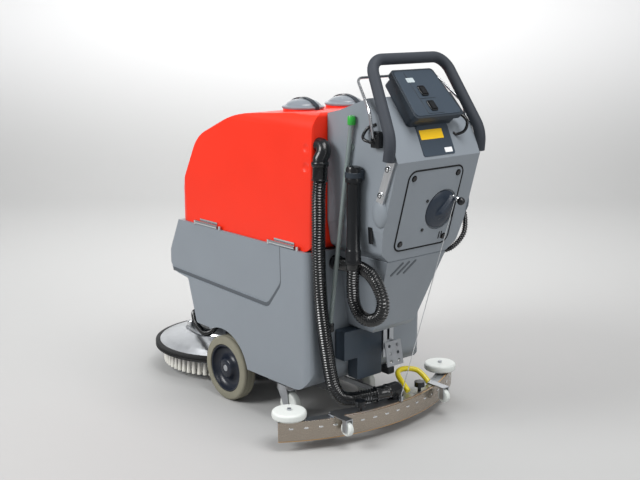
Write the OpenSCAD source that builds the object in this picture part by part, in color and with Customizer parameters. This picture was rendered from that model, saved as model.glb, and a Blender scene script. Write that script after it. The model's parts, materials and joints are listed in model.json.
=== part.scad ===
// Walk-behind scrubber dryer.
// X runs forward to the brush, Y to the machine's left and Z up.
// The floor is Z = 0. Modules are drawn from the drive axle, and rig() moves
// them so that the origin lies under the middle of the whole machine.

/* [Body] */
// Width of the lower tank
body_w = 446; // [420:2:540]
// Distance from the drive axle back to the rear faces of both tanks
tail_len = 402; // [390:2:440]
// Distance from the drive axle forward to the tip of the lower tank's nose
nose_len = 285; // [270:1:300]
// Height of the top of the lower tank
split_z = 530; // [500:2:580]
// Height of the recovery tank
tank_h = 377; // [320:2:455]
// Wall of the recovery tank
tank_wall = 6; // [4:0.5:8]

/* [Rear column] */
// Width of the rear column
column_w = 310; // [260:2:372]
// Lean of the rear face from upright, in degrees
rear_lean = 15; // [12:1:18]
// Width of the access cover
cover_w = 200; // [166:2:220]
// Height of the access cover along the rear face
cover_h = 222; // [190:2:230]
// Radius of the lift dial
dial_r = 54; // [45:1:60]

/* [Handle and controls] */
// Diameter of the handle's foam
grip_d = 30; // [26:1:36]
// Height of the handle's top bar, at its centre
bar_z = 1048; // [1035:1:1080]
// Width of the control panel at its lower edge
panel_w = 182; // [152:2:200]
// Length of the control panel along its slope
panel_len = 158; // [150:2:160]

/* [Wheels] */
// Diameter of a drive wheel
wheel_d = 200; // [180:2:240]
// Width of a drive wheel's tyre
tyre_w = 44; // [36:1:53]
// Diameter of the drive axle
axle_d = 20; // [16:1:24]
// Diameter of a rear castor wheel
castor_d = 75; // [62:1:80]
// Width of a rear castor wheel
castor_w = 24; // [20:1:30]

/* [Brush deck] */
// Distance from the drive axle forward to the brush spindle
deck_x = 285; // [280:1:300]
// Diameter over the bumper
bumper_d = 474; // [456:2:480]
// Diameter of the brush
brush_d = 426; // [354:2:430]
// Length of the bristles
bristle_len = 38; // [31:1:46]
// Height of the bristle tips while the deck is raised
tip_z = 22; // [20:1:24]
// Diameter of the brush motor
motor_d = 150; // [124:2:150]

/* [Squeegee] */
// Width over the squeegee band
squeegee_w = 690; // [575:5:700]
// Radius of the band's curve, seen from above
band_r = 596; // [560:2:720]
// Height of the band
band_h = 54; // [45:1:60]
// Diameter of a guide roller
roller_d = 96; // [80:2:110]

/* [Hoses] */
// Outer diameter of the suction hose
suction_d = 40; // [34:1:42]
// Outer diameter of the drain hose
drain_d = 36; // [30:1:36]

/* [Hidden] */
$fn = 48;

// Clearances: a seat between still parts, and a running fit round a shaft
seat = 0.3;
fit = 0.05;

// Undercarriage
axle_z = wheel_d / 2;
arch_r = axle_z + 28;
floor_z = axle_z + 31;
rail_h = 20;
rail_z = floor_z - rail_h;
rail_y = 112;
rail_w = 24;
plate_t = 6;
wheel_y = body_w / 2 - 8 - tyre_w / 2;
wheel_in = wheel_y - tyre_w / 2;
arch_in = wheel_in - 14;

// Brush deck, raised
bumper_r = bumper_d / 2;
deck_lip = tip_z + bristle_len + 32;
deck_top = deck_lip + 38;
arm_z = axle_z + 70;
arm_x = 100;
lug_x = deck_x - 65;
arm_y = 70;
pin_r = 6;
lug_slack = 2.2;
spindle_r = 12;

// Battery bay
bay_z = 2 * axle_z + 45;
bay_x0 = -tail_len + 30;
bay_x1 = 160;
bay_w = body_w - 66;
battery_h = split_z - bay_z - 45;

// Recovery tank
tank_w = body_w - 22;
tank_z = split_z + 0.5;
tank_top = split_z + tank_h;
lid_x = 187 - tail_len;
lid_y = 80;
lid_r = 59;
neck_r = 57;
neck_top = tank_top - 8;
hinge_y = body_w / 2 - 4;
hinge_z = split_z + 7;
hinge_r = 6;
hinge_len = 108;
hinge_xs = [70, -289];
elbow_y = tank_w / 2 - 22;
elbow_z = tank_top - 85;

// Column
column_front = -tail_len - 2;
column_half = column_w / 2;
base_z0 = 300;
base_top = split_z - 4.3;
column_z0 = split_z - 4;
column_foot = -tail_len - 193;
shoulder_z = 798;
shoulder_x = column_foot - (shoulder_z - column_z0) * tan(rear_lean);
column_wall = 8;
rear_wall = 20;

// Rear cover and dial; the dial's place is measured from the cover's centre
cover_z = (column_z0 + shoulder_z) / 2;
cover_x = column_foot - (cover_z - column_z0) * tan(rear_lean);
cover_r = 22;
cover_gap = 4;
cover_t = 8;
gasket_t = 2;
recess_t = cover_t + gasket_t - 1;
dial_at = [cover_w / 2 - 51, -10];
dial_dish = 5;
dial_t = 12;
dial_floor = 1 - dial_dish;
crank_r = dial_r - 8;
crank_turn = 48;
crank_at = dial_at + crank_r * [cos(crank_turn), sin(crank_turn)];
knob_r = 11;
knob_out = 36;

// Control panel: its centre, its slope and the depth of its box
panel_at = [shoulder_x + 56, 963];
panel_slope = 43.7;
panel_lip = 16;
panel_depth = 45.6;
panel_top_w = panel_w - 26;
switch_at = [[-9, 5], [-9, -44]];
switch_l = 22;
switch_w = 15;
switch_deep = 7;

// Handle: ends, kinks and top corners on the left side
grip_r = grip_d / 2;
grip_y = column_half + grip_r + 1;
grip_end = [shoulder_x + 17, grip_y, 803];
grip_kink = [shoulder_x + 11, grip_y - 2, 854];
grip_corner = [shoulder_x + 124, grip_y - 35, bar_z];

// Bail: its pivots and its top bar
bail_r = 3.75;
bail_pivot = [shoulder_x + 68, column_half + 8, 860];
bail_y = column_half + 21;
bail_top = [shoulder_x + 165, column_half - 12, 1001];

// Squeegee, raised. Its curve is centred ahead of the axle.
band_z = 32;
band_apex = -tail_len - 128;
band_cx = band_apex + band_r;
band_t = 3;
blade_t = 5;
band_span = asin(squeegee_w / 2 / band_r);
body_out = band_r - band_t - blade_t;
body_in = body_out - 30;
body_z0 = band_z + 26;
body_top = band_z + band_h - 2;
top_plate = body_top + 3;
hitch = [-205, axle_z - 15];
hitch_arm_y = 44;
hitch_len = hitch[0] - band_cx + sqrt(body_in * body_in - hitch_arm_y * hitch_arm_y) + 5;
front_top = hitch[1] - 16;
roller_at = [-tail_len - 10, squeegee_w / 2 - 45];
roller_z = top_plate + 1;
roller_t = 22;
guide_at = [-tail_len - 127, 192, 62];
guide_d = 40;
guide_w = 16;
nozzle_at = [-tail_len - 88, -30];
nozzle_z = 112;
lug_at = [-tail_len - 120, -20];

// Castors
castor_x = -215;
castor_y = body_w / 2 - 73;
castor_trail = 22;
castor_plate = rail_z - plate_t;
fork_top = castor_plate - seat;

// Pedal
pedal_at = [-tail_len - 53, -38, 225];
pedal_face = [-tail_len - 112, -8, 232];

// Middle of the machine, seen from above, measured from the axle
knob_rear = cover_x - sin(rear_lean) * crank_at[1] - cos(rear_lean) * knob_out - knob_r;
rig_x = -(knob_rear + deck_x + bumper_r) / 2;

// Routes of the hoses
suction_route = [[-428, 203, 774], [-428, 203.3, 745], [-428, 208, 690], [-428, 208, 620],
    [-428, 208, 536], [-429, 205, 450], [-430, 199, 374], [-431, 190, 310], [-432, 180, 250],
    [-434, 172, 200], [-437, 160, 150], [-442, 138, 116], [-449, 108, 103], [-461, 78, 105],
    [-477, 48, 109], [-487, 24, 112], [-490, 12, 112], [-490, 3, 112]];
drain_route = [[-402.8, 128, 494], [-420, 128, 494], [-445, 128, 495], [-480, 132, 500], [-530, 142, 501],
    [-575, 152, 492], [-608, 157, 466], [-625, 158, 430], [-615, 158, 394], [-582, 160, 374],
    [-549, 165, 381], [-531, 172, 414], [-529, 176, 460], [-531, 177, 500], [-531, 177, 519.6]];
side_route = [[-592, -156, 664], [-592, -162, 664], [-594, -168, 658], [-598, -170, 645], [-608, -172, 605], [-605, -168, 562],
    [-575, -154, 522], [-530, -140, 506], [-465, -126, 497], [-425, -124, 496], [-402.6, -124, 496]];
water_route = [[395, 40, 126.7], [394, 44, 148], [376, 62, 166], [340, 92, 170], [296, 116, 160],
    [250, 132, 150], [205, 146, 150], [165, 152, 162], [134, 152, 186], [114.5, 150, 210.9]];

// ---- Helpers ----

function unit(v) = v / norm(v);

// Points of the arc of radius r that rounds the corner at b, between a and c
function corner(a, b, c, r, n) =
    let (u = unit(a - b), v = unit(c - b), half = acos(u * v) / 2, turn = 180 - 2 * half,
         mid = b + unit(u + v) * r / sin(half),
         s = b + u * r / tan(half) - mid, e = b + v * r / tan(half) - mid)
    [for (i = [0:n]) mid + (s * sin(turn * (n - i) / n) + e * sin(turn * i / n)) / sin(turn)];

// Closed outline with each corner rounded by its own radius
function rounded(p, radii, n = 5) =
    let (k = len(p))
    [for (i = [0:k - 1])
        for (q = radii[i] > 0 ? corner(p[(i + k - 1) % k], p[i], p[(i + 1) % k], radii[i], n)
                              : [p[i]]) q];

function box_outline(l, w) = [[l / 2, w / 2], [-l / 2, w / 2], [-l / 2, -w / 2], [l / 2, -w / 2]];
function soft_box(l, w, r) = rounded(box_outline(l, w), [r, r, r, r]);

// Smooth path through the points of p, with n steps between neighbours
function spline(p, n) =
    concat([for (i = [0:len(p) - 2])
        let (a = p[max(i - 1, 0)], b = p[i], c = p[i + 1], d = p[min(i + 2, len(p) - 1)])
        for (k = [0:n - 1])
            let (t = k / n)
            (2 * b + (c - a) * t + (2 * a - 5 * b + 4 * c - d) * t * t
                + (3 * b - a - 3 * c + d) * t * t * t) / 2],
        [p[len(p) - 1]]);

function heading(p, i) = unit(p[min(i + 1, len(p) - 1)] - p[max(i - 1, 0)]);

// Round tube of radius r along p. ref is never parallel to the path.
module sweep(p, r, sides, ref) {
    n = len(p);
    points = [for (i = [0:n - 1])
        let (t = heading(p, i), a = unit(cross(t, ref)), b = cross(t, a))
        for (k = [0:sides - 1])
            p[i] + r * (cos(360 * k / sides) * a + sin(360 * k / sides) * b)];
    walls = [for (i = [0:n - 2]) for (k = [0:sides - 1])
        [i * sides + k, (i + 1) * sides + k,
         (i + 1) * sides + (k + 1) % sides, i * sides + (k + 1) % sides]];
    ends = [[for (k = [0:sides - 1]) k], [for (k = [sides - 1:-1:0]) (n - 1) * sides + k]];
    polyhedron(points, concat(walls, ends), convexity = 4);
}

// Straight rod between two points
module rod(a, b, r) {
    d = b - a;
    translate(a)
        rotate([0, acos(d[2] / norm(d)), atan2(d[1], d[0])])
            cylinder(h = norm(d), r = r);
}

// Moves a part from the axle's frame to the machine's own
module rig() translate([rig_x, 0, 0]) children();

// Draws its children on the left and their mirror image on the right
module both() { children(); mirror([0, 1, 0]) children(); }

// Side-view outline, as [x, z] points, made w wide about the middle
module across(w, outline)
    rotate([90, 0, 0]) linear_extrude(w, center = true, convexity = 4) polygon(outline);

// Rear-view outline, as [y, z] points, made long from x0 forward
module along(x0, length, outline)
    translate([x0, 0, 0]) rotate([90, 0, 90])
        linear_extrude(length, convexity = 4) polygon(outline);

// Cylinder along Y, centred on y
module y_cylinder(x, y, z, r, w)
    translate([x, y, z]) rotate([90, 0, 0]) cylinder(h = w, r = r, center = true);

// Local frames: X to the right seen from behind, Y up the face, Z out of it
module on_rear() translate([cover_x, 0, cover_z]) rotate([0, -rear_lean, 0])
    rotate([90, 0, -90]) children();
module on_panel() translate([panel_at[0], 0, panel_at[1]]) rotate([0, panel_slope, 0])
    rotate([90, 0, -90]) children();

// ---- Chassis ----

module frame() color("dimgray") rig() {
    both() difference() {
        union() {
            translate([-tail_len + 12, rail_y - rail_w / 2, rail_z])
                cube([tail_len - 12 + arm_x + 18, rail_w, rail_h]);
            translate([-22, rail_y - rail_w / 2, axle_z - 20])
                cube([44, rail_w + 12, rail_z - axle_z + 20 + 1]);
            translate([arm_x - 26, rail_y - rail_w / 2 - 8, rail_z])
                cube([48, 8, arm_z - rail_z + 18]);
        }
        y_cylinder(0, rail_y, axle_z, axle_d / 2 + fit, 80);
        y_cylinder(arm_x, rail_y, arm_z, pin_r + fit, 80);
    }
    translate([castor_x - 40, -castor_y - 35, castor_plate])
        cube([80, 2 * castor_y + 70, plate_t]);
    both() difference() {
        translate([hitch[0] - 20, 52, hitch[1] - 15])
            cube([40, 8, castor_plate - hitch[1] + 15.5]);
        y_cylinder(hitch[0], 55, hitch[1], pin_r + fit, 40);
    }
}

// Side view of the lower tank
function lower_side() = rounded(
    [[-tail_len, split_z], [-tail_len, floor_z], [40, floor_z], [62, floor_z + 86],
     [132, floor_z + 86], [174, split_z - 178], [nose_len - 30, split_z - 168],
     [nose_len, split_z - 128], [nose_len - 61, split_z]],
    [0, 60, 8, 12, 10, 12, 20, 14, 0]);

// Side view of the stepped field on each flank
function field(rise) = rounded(
    [[-282, split_z + 10], [-286, split_z - 110], [-226, split_z - 187 - rise],
     [nose_len + 20, split_z - 168 - rise], [nose_len + 20, split_z + 10]],
    [0, 40, 30, 0, 0]);

module lower_tank() color("#8b9299") rig() difference() {
    intersection() {
        across(body_w, lower_side());
        translate([(nose_len - tail_len) / 2, 0, 0])
            linear_extrude(split_z + 10) polygon(soft_box(nose_len + tail_len, body_w, 26));
    }
    translate([bay_x0, -bay_w / 2, bay_z]) cube([bay_x1 - bay_x0, bay_w, split_z]);
    both() {
        y_cylinder(0, arch_in + body_w / 2, axle_z, arch_r, body_w);
        translate([0, body_w / 2 - 2 + 10, 0]) across(20, field(0));
        translate([0, body_w / 2 - 4 + 10, 0]) across(20, field(-14));
    }
}

module batteries() color("#24272b") rig() both() {
    length = bay_x1 - bay_x0 - 60;
    translate([bay_x0 + 30, 6, bay_z]) cube([length, bay_w / 2 - 20, battery_h]);
    for (x = [bay_x0 + 60, bay_x0 + length])
        translate([x, bay_w / 4, bay_z + battery_h]) cylinder(h = 16, r = 8);
}

module drive_motor() color("#2b2e33") rig() difference() {
    union() {
        y_cylinder(0, 0, axle_z, 29, 150);
        translate([-175, 0, axle_z - 8]) rotate([0, 90, 0]) cylinder(h = 175, r = 38);
    }
    y_cylinder(0, 0, axle_z, axle_d / 2 + fit, 200);
    translate([-200, -60, floor_z - seat]) cube([260, 120, 60]);
}

module drive_axle() color("silver") rig()
    y_cylinder(0, 0, axle_z, axle_d / 2, body_w - 20);

// Pins of the deck arms, the squeegee hitch and the tank hinges' fixed ends
module hinge_pins() color("silver") rig() both() {
    y_cylinder(arm_x, 84, arm_z, pin_r, 60);
    y_cylinder(hitch[0], 50, hitch[1], pin_r, 36);
    for (x = hinge_xs) for (s = [-1, 1])
        translate([x + s * (hinge_len / 2 + 9), hinge_y, split_z])
            cylinder(h = 12, r = 4.5);
}

// ---- Rear column ----

function column_side(inset, rear) = [
    [column_front - inset, column_z0 - (inset > 0 ? 10 : 0)],
    [column_front - inset, tank_top - 2 - inset],
    [column_front - 51, tank_top + 10 - inset],
    [shoulder_x + 111, panel_at[1] - 10 - inset],
    [shoulder_x + 35 + rear, panel_at[1] - 89 - inset],
    [shoulder_x + rear, shoulder_z],
    [column_foot + rear, column_z0 - (inset > 0 ? 10 : 0)]];

module column() color("#8b9299") rig() difference() {
    intersection() {
        across(column_w, column_side(0, 0));
        along(-800, 500, rounded(
            [[110, column_z0], [column_half - 12, column_z0 + 24], [column_half, column_z0 + 90],
             [column_half, 1000], [-column_half, 1000], [-column_half, column_z0 + 90],
             [12 - column_half, column_z0 + 24], [-110, column_z0]],
            [4, 20, 40, 0, 0, 40, 20, 4]));
    }
    intersection() {
        across(column_w, column_side(column_wall, rear_wall));
        along(-800, 500,
            [[98, column_z0 - 20], [98, column_z0 + 20], [column_half - column_wall, column_z0 + 98],
             [column_half - column_wall, 1000], [column_wall - column_half, 1000],
             [column_wall - column_half, column_z0 + 98], [-98, column_z0 + 20],
             [-98, column_z0 - 20]]);
    }
    on_rear() {
        translate([0, 0, -recess_t]) linear_extrude(30)
            polygon(soft_box(cover_w + 2 * cover_gap, cover_h + 2 * cover_gap, cover_r + 4));
        translate([0, 0, -60]) linear_extrude(60)
            polygon(soft_box(cover_w - 36, cover_h - 36, 12));
    }
}

module column_base() color("#828a92") rig() intersection() {
    across(column_w, rounded(
        [[-tail_len, base_z0], [-tail_len, base_top], [column_foot + 1, base_top],
         [column_foot + 24, base_top - 58], [-tail_len - 112, base_z0 + 18],
         [-tail_len - 94, base_z0]],
        [0, 0, 4, 40, 16, 8]));
    along(-800, 500, rounded(
        [[112, base_top], [-112, base_top], [-75, base_z0], [75, base_z0]], [4, 4, 14, 14]));
}

module suction_motor() color("#3a3d42") rig() translate([column_front - 92, 0, base_top]) {
    cylinder(h = 60, r = 70);
    translate([0, 0, 60]) cylinder(h = 70, r = 45);
}

module cover_gasket() color("#111111") rig() on_rear() translate([0, 0, -recess_t])
    linear_extrude(gasket_t) difference() {
        polygon(soft_box(cover_w + 2 * cover_gap - 1, cover_h + 2 * cover_gap - 1, cover_r + 3));
        polygon(soft_box(cover_w - 36, cover_h - 36, 12));
    }

module cover_panel() color("#8d959c") rig() on_rear() difference() {
    translate([0, 0, gasket_t - recess_t])
        linear_extrude(cover_t) polygon(soft_box(cover_w, cover_h, cover_r));
    translate([dial_at[0], dial_at[1], dial_floor]) cylinder(h = 20, r = dial_r + 4);
    translate([dial_at[0], dial_at[1], -20]) cylinder(h = 40, r = 8 + fit);
}

module panel_screws() color("#2c2f33") rig() {
    on_rear() {
        for (x = [-1, 1]) for (y = [-1, 1])
            translate([x * (cover_w / 2 - 17), y * (cover_h / 2 - 18), 1]) cylinder(h = 3, r = 7);
        for (p = [[-62, 32], [-58, -52]])
            translate([dial_at[0] + p[0], dial_at[1] + p[1], 1]) cylinder(h = 2, r = 4.5);
    }
    both() for (t = [0.2, 0.86])
        y_cylinder(grip_end[0] + 39 * t, column_half + 9 + 2.5, grip_end[2] - 105 * t, 7, 5);
}

// ---- Handle and controls ----

function mirrored(p) = [p[0], -p[1], p[2]];

module handle_grip() color("#3b414b") rig() sweep(
    concat([grip_end],
        corner(grip_end, grip_kink, grip_corner, 90, 4),
        corner(grip_kink, grip_corner, mirrored(grip_corner), 48, 7),
        corner(grip_corner, mirrored(grip_corner), mirrored(grip_kink), 48, 7),
        corner(mirrored(grip_corner), mirrored(grip_kink), mirrored(grip_end), 90, 4),
        [mirrored(grip_end)]),
    grip_r, 12, [0.864, 0, -0.503]);

module handle_plates() color("#d5d6d8") rig() both()
    translate([0, column_half + seat + 4.35, 0]) across(8.7, [
        [grip_end[0] - 12, grip_end[2] - 2.2], [grip_end[0] + 12, grip_end[2] - 2.2],
        [grip_end[0] + 51, grip_end[2] - 108], [grip_end[0] + 27, grip_end[2] - 112]]);

// Outline of the control panel, drawn in by inset
function panel_outline(inset) = rounded(
    [[panel_top_w / 2 - inset, panel_len / 2 - inset],
     [inset - panel_top_w / 2, panel_len / 2 - inset],
     [inset - panel_w / 2, inset - panel_len / 2], [panel_w / 2 - inset, inset - panel_len / 2]],
    [12, 12, 12, 12]);

module switch_pockets(margin, deep)
    for (s = switch_at)
        translate([s[0] - switch_w / 2 - margin, s[1] - switch_l / 2 - margin, -deep])
            cube([switch_w + 2 * margin, switch_l + 2 * margin, deep + 10]);

module control_box() color("#2c3640") rig() on_panel() difference() {
    union() {
        translate([0, 0, -panel_lip]) linear_extrude(panel_lip) polygon(panel_outline(0));
        translate([0, 0, -panel_depth])
            linear_extrude(panel_depth - 4) polygon(panel_outline(7));
    }
    translate([0, 0, -2]) linear_extrude(10) polygon(panel_outline(6));
    switch_pockets(2, 2 * switch_deep);
}

module control_face() color("#4d5a64") rig() on_panel() difference() {
    translate([0, 0, -2]) linear_extrude(3) polygon(panel_outline(6.3));
    switch_pockets(1.5, 12);
}

module rocker(at) color("black") rig() on_panel() translate([at[0], at[1], 1])
    {
        intersection() {
            rotate([0, 90, 0]) cylinder(h = switch_w, r = switch_l / 2 + 1, center = true);
            translate([0, 0, 4 - switch_deep])
                cube([switch_w, switch_l, 2 * switch_deep], center = true);
        }
        translate([0, 0, -1.5]) rotate([0, 90, 0])
            cylinder(h = switch_w + 2.4, r = 1, center = true);
    }
module upper_switch() rocker(switch_at[0]);
module lower_switch() rocker(switch_at[1]);

module bail_pivots() color("#15171a") rig() both() difference() {
    translate([bail_pivot[0] - 15, column_half + seat, bail_pivot[2] - 28])
        cube([30, 15, 42]);
    y_cylinder(bail_pivot[0], column_half + 8, bail_pivot[2], bail_r + fit, 40);
}

module stop_bail() color("#c9ccd0") rig() {
    foot = [bail_pivot[0], bail_y, bail_pivot[2]];
    knee = [bail_pivot[0] + 14, bail_y, bail_pivot[2] + 64];
    sweep(concat([foot], corner(foot, knee, bail_top, 40, 3),
            corner(knee, bail_top, mirrored(bail_top), 26, 5),
            corner(bail_top, mirrored(bail_top), mirrored(knee), 26, 5),
            corner(mirrored(bail_top), mirrored(knee), mirrored(foot), 40, 3), [mirrored(foot)]),
        bail_r, 8, [0.8, 0, -0.6]);
    both() y_cylinder(bail_pivot[0], column_half + 13.5, bail_pivot[2], bail_r, 19);
}

// ---- Tubes and hoses ----

module sight_tube() color("#9fb0ad") rig() {
    top = [column_front - 104, column_half + 11, tank_top - 23];
    foot = [-tail_len - 22, column_half + 6, split_z - 200];
    rod(foot, top, 6.5);
    rod(top, top + [-2, 0, 22], 9);
    rod(foot + [0, 0, -22], foot + [0, 0, -1], 9);
    y_cylinder(top[0] + 6, column_half + seat + 1.5, top[2] - 60, 8, 3);
}

module drain_tube() color("#191c20") rig() {
    at = [-tail_len - 129, column_half + 22];
    translate([at[0], at[1], 534]) cylinder(h = 206, r = drain_d / 2);
    translate([at[0], at[1], 520]) cylinder(h = 40, r = drain_d / 2 + 3);
    translate([at[0], at[1], 736]) cylinder(h = 44, r = drain_d / 2 + 4);
    translate([at[0] - 16, column_half + seat, 742]) cube([32, 20, 28]);
}

module drain_hose() color("#15181c") rig()
    sweep(spline(drain_route, 3), drain_d / 2, 10, [0.1, 1, 0.1]);

module suction_hose() color("#15181c") rig()
    sweep(spline(suction_route, 2), suction_d / 2, 10, [-1, 0.1, 0.15]);

module side_hose() color("#15181c") rig()
    sweep(spline(side_route, 2), 8, 8, [0.7, -0.7, 0.1]);

// ---- Behind the lower tank ----

module rear_box() color("#3c4856") rig() difference() {
    translate([-tail_len - 40, -20, 150]) cube([40 - seat, 145, base_z0 - 150 - seat]);
    translate([-tail_len - 60, 75, 140]) cube([90, 60, 75]);
}

module pedal_bracket() color("#b9bcc0") rig() difference() {
    union() {
        translate([-tail_len - 44, -62, 196]) cube([4, 40, base_z0 - 196 - seat]);
        translate([-tail_len - 44, -62, 196]) cube([44 - seat, 4, base_z0 - 196 - seat]);
        translate([-tail_len - 62, -62, 208]) cube([20, 4, 34]);
    }
    translate([-tail_len - 50, -46, 246]) cube([20, 9, 42]);
    y_cylinder(pedal_at[0], -60, pedal_at[2], 4 + fit, 20);
}

module pedal() color("#d0d2d4") rig() {
    y_cylinder(pedal_at[0], -46, pedal_at[2], 4, 36);
    difference() {
        union() {
            y_cylinder(pedal_at[0], -46, pedal_at[2], 9, 22);
            translate([pedal_at[0] - 46, -40, pedal_at[2] - 6]) cube([46, 10, 12]);
        }
        y_cylinder(pedal_at[0], -46, pedal_at[2], 3.9, 60);
    }
    translate([pedal_at[0] - 46, -8, pedal_at[2] + 2]) rotate([0, 12, 0]) difference() {
        translate([-3, -31, -35]) cube([3, 62, 70]);
        for (y = [-15, 15]) for (z = [-22, 0, 22])
            translate([-10, y, z]) rotate([0, 90, 0]) cylinder(h = 20, r = 5);
    }
}

// ---- Brush deck ----

module deck_shell() color("#b4b8bc") rig() translate([deck_x, 0, 0]) rotate_extrude()
    polygon([[22, deck_top], [96, deck_top], [112, deck_top - 4], [150, deck_top - 14],
        [190, deck_top - 26], [bumper_r - 32, deck_lip + 6], [bumper_r - 15.3, deck_lip],
        [bumper_r - 15.3, deck_lip - 24], [bumper_r - 18.3, deck_lip - 24],
        [bumper_r - 18.3, deck_lip - 4], [bumper_r - 33, deck_lip + 2], [189, deck_top - 30],
        [149, deck_top - 18], [110, deck_top - 8], [96, deck_top - 4], [22, deck_top - 4]]);

module deck_bumper() color("#1d1f22") rig() translate([deck_x, 0, 0]) rotate_extrude()
    polygon(rounded([[bumper_r - 15, deck_lip - 24], [bumper_r, deck_lip - 24],
        [bumper_r, deck_lip], [bumper_r - 15, deck_lip]], [0, 4, 7, 0], 3));

module deck_bracket() color("#6d7277") rig() {
    difference() {
        translate([deck_x, 0, deck_top]) cylinder(h = 6, r = 88);
        translate([deck_x, 0, deck_top - 1]) cylinder(h = 10, r = spindle_r + 6);
    }
    both() difference() {
        union() {
            translate([lug_x - 14, arm_y - 16, deck_top]) cube([44, 6, 6]);
            translate([lug_x - 14, arm_y - 16, deck_top]) cube([28, 6, arm_z - deck_top + 12]);
        }
        y_cylinder(lug_x, arm_y, arm_z, pin_r + lug_slack, 60);
    }
}

module brush_motor() color("#34383d") rig() translate([deck_x, 0, 0]) {
    translate([0, 0, deck_top + 6]) cylinder(h = 70, r = 42);
    translate([0, 0, deck_top + 76]) cylinder(h = 96, r = motor_d / 2);
    translate([0, 0, deck_lip - 28]) cylinder(h = deck_top - deck_lip + 34, r = spindle_r);
}

module water_hose() color("#15181c") rig()
    sweep(spline(water_route, 2), 10, 8, [0.3, 0.9, -0.1]);

module deck_arms() color("#5d6267") rig() both() {
    difference() {
        union() {
            y_cylinder(arm_x, arm_y, arm_z, 13, 12);
            y_cylinder(lug_x, arm_y, arm_z, 13, 12);
            translate([arm_x, arm_y - 6, arm_z - 8]) cube([lug_x - arm_x, 12, 16]);
        }
        y_cylinder(arm_x, arm_y, arm_z, pin_r + fit, 60);
        y_cylinder(lug_x, arm_y, arm_z, pin_r - fit, 60);
    }
    y_cylinder(lug_x, arm_y - 4, arm_z, pin_r - fit, 26);
}

module brush_plate() color("#2f6db0") rig() translate([deck_x, 0, deck_lip - 32])
    difference() {
        union() {
            cylinder(h = 14, r = brush_d / 2 - 12);
            cylinder(h = 24, r = 34);
        }
        translate([0, 0, -1]) cylinder(h = 40, r = spindle_r + fit);
    }

module bristles() color("#e6e4dc") rig() translate([deck_x, 0, tip_z]) difference() {
    cylinder(h = bristle_len, r = brush_d / 2);
    translate([0, 0, -1]) cylinder(h = bristle_len + 2, r = 75);
}

// ---- Recovery tank ----

function tank_side(inset) = rounded(
    [[238 - 1.1 * inset, tank_z + inset], [215 - inset, tank_z + 0.27 * tank_h],
     [130 - 0.75 * inset, tank_top - 0.29 * tank_h - 0.75 * inset],
     [-60, tank_top - 0.069 * tank_h - inset], [inset - tail_len, tank_top - inset],
     [inset - tail_len, tank_z + inset]],
    [14, 300, 120, 380, 12, 30]);

function tank_rear(inset) = rounded(
    [[tank_w / 2 - inset, tank_z - 20], [tank_w / 2 - 6 - inset, tank_top - inset],
     [6 + inset - tank_w / 2, tank_top - inset], [inset - tank_w / 2, tank_z - 20]],
    [0, 46 - inset, 46 - inset, 0]);

module tank_form(inset) intersection() {
    across(tank_w, tank_side(inset));
    along(-500, 900, tank_rear(inset));
    translate([0, 0, tank_z - 5]) linear_extrude(tank_h + 40) polygon(rounded(
        [[238 - inset, tank_w / 2 - inset], [inset - tail_len, tank_w / 2 - inset],
         [inset - tail_len, inset - tank_w / 2], [238 - inset, inset - tank_w / 2]],
        [58 - inset, 14, 14, 58 - inset]));
}

module recovery_tank() color("#ff3b1d") rig() difference() {
    union() {
        tank_form(0);
        both() translate([lid_x, lid_y, tank_top - 40]) cylinder(h = 32, r = neck_r);
    }
    difference() {
        tank_form(tank_wall);
        both() translate([lid_x, lid_y, tank_top - 41]) cylinder(h = 60, r = neck_r);
    }
    both() translate([lid_x, lid_y, tank_top - 60]) cylinder(h = 80, r = neck_r - 5);
    translate([-tail_len - 10, elbow_y - 6, elbow_z]) rotate([0, 90, 0])
        cylinder(h = 30, r = 15);
    for (z = [0, 52])
        translate([-tail_len + 26, tank_w / 2 + 22, tank_top - 94 - z]) sphere(r = 30);
}

module tank_elbow() color("#111417") rig() {
    mouth = [-tail_len - seat, elbow_y - 6, elbow_z];
    knee = [-tail_len - 26, elbow_y - 6, elbow_z];
    foot = [-tail_len - 26, 203, 775.2];
    sweep(concat([mouth], corner(mouth, knee, foot, 22, 5), [foot + [0, 0, 12], foot]),
        suction_d / 2, 12, [0.3, 1, 0.3]);
}

module tank_hinges() color("#d9dbdd") rig() for (x = hinge_xs) {
    translate([x - hinge_len / 2, hinge_y, hinge_z]) rotate([0, 90, 0])
        cylinder(h = hinge_len, r = hinge_r);
    translate([x - hinge_len / 2 + 10, tank_w / 2 + 0.2, hinge_z])
        cube([hinge_len - 20, 2, 12]);
}

module lid(side) color("#7c838a") rig() translate([lid_x, side * lid_y, neck_top + seat])
    rotate_extrude() polygon([[0, 0], [lid_r, 0], [lid_r, 6], [lid_r - 4, 9], [46, 20],
        [30, 25], [0, 27]]);
module left_lid() lid(1);
module right_lid() lid(-1);

// ---- Wheels ----

module tyre(side) color("#8f8d7c") rig() translate([0, side * wheel_y, axle_z])
    rotate([90, 0, 0]) rotate_extrude() polygon(rounded(
        [[axle_z - 26, -tyre_w / 2], [axle_z, -tyre_w / 2], [axle_z, tyre_w / 2],
         [axle_z - 26, tyre_w / 2]], [0, 9, 9, 0], 3));
module left_tyre() tyre(1);
module right_tyre() tyre(-1);

module hub(side) color("#2a3345") rig() translate([0, side * wheel_y, axle_z])
    rotate([-90 * side, 0, 0]) difference() {
        rotate_extrude() polygon([[axle_d / 2 + fit, -tyre_w / 2 + 2], [26, -tyre_w / 2 + 2],
            [34, -8], [axle_z - 38, -8], [axle_z - 26.3, -tyre_w / 2 + 2],
            [axle_z - 26.3, tyre_w / 2 - 2], [axle_z - 34, tyre_w / 2 - 2],
            [axle_z - 42, 6], [34, 2], [26, tyre_w / 2 - 6], [axle_d / 2 + fit, tyre_w / 2 - 6]]);
    }
module left_hub() hub(1);
module right_hub() hub(-1);

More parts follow.
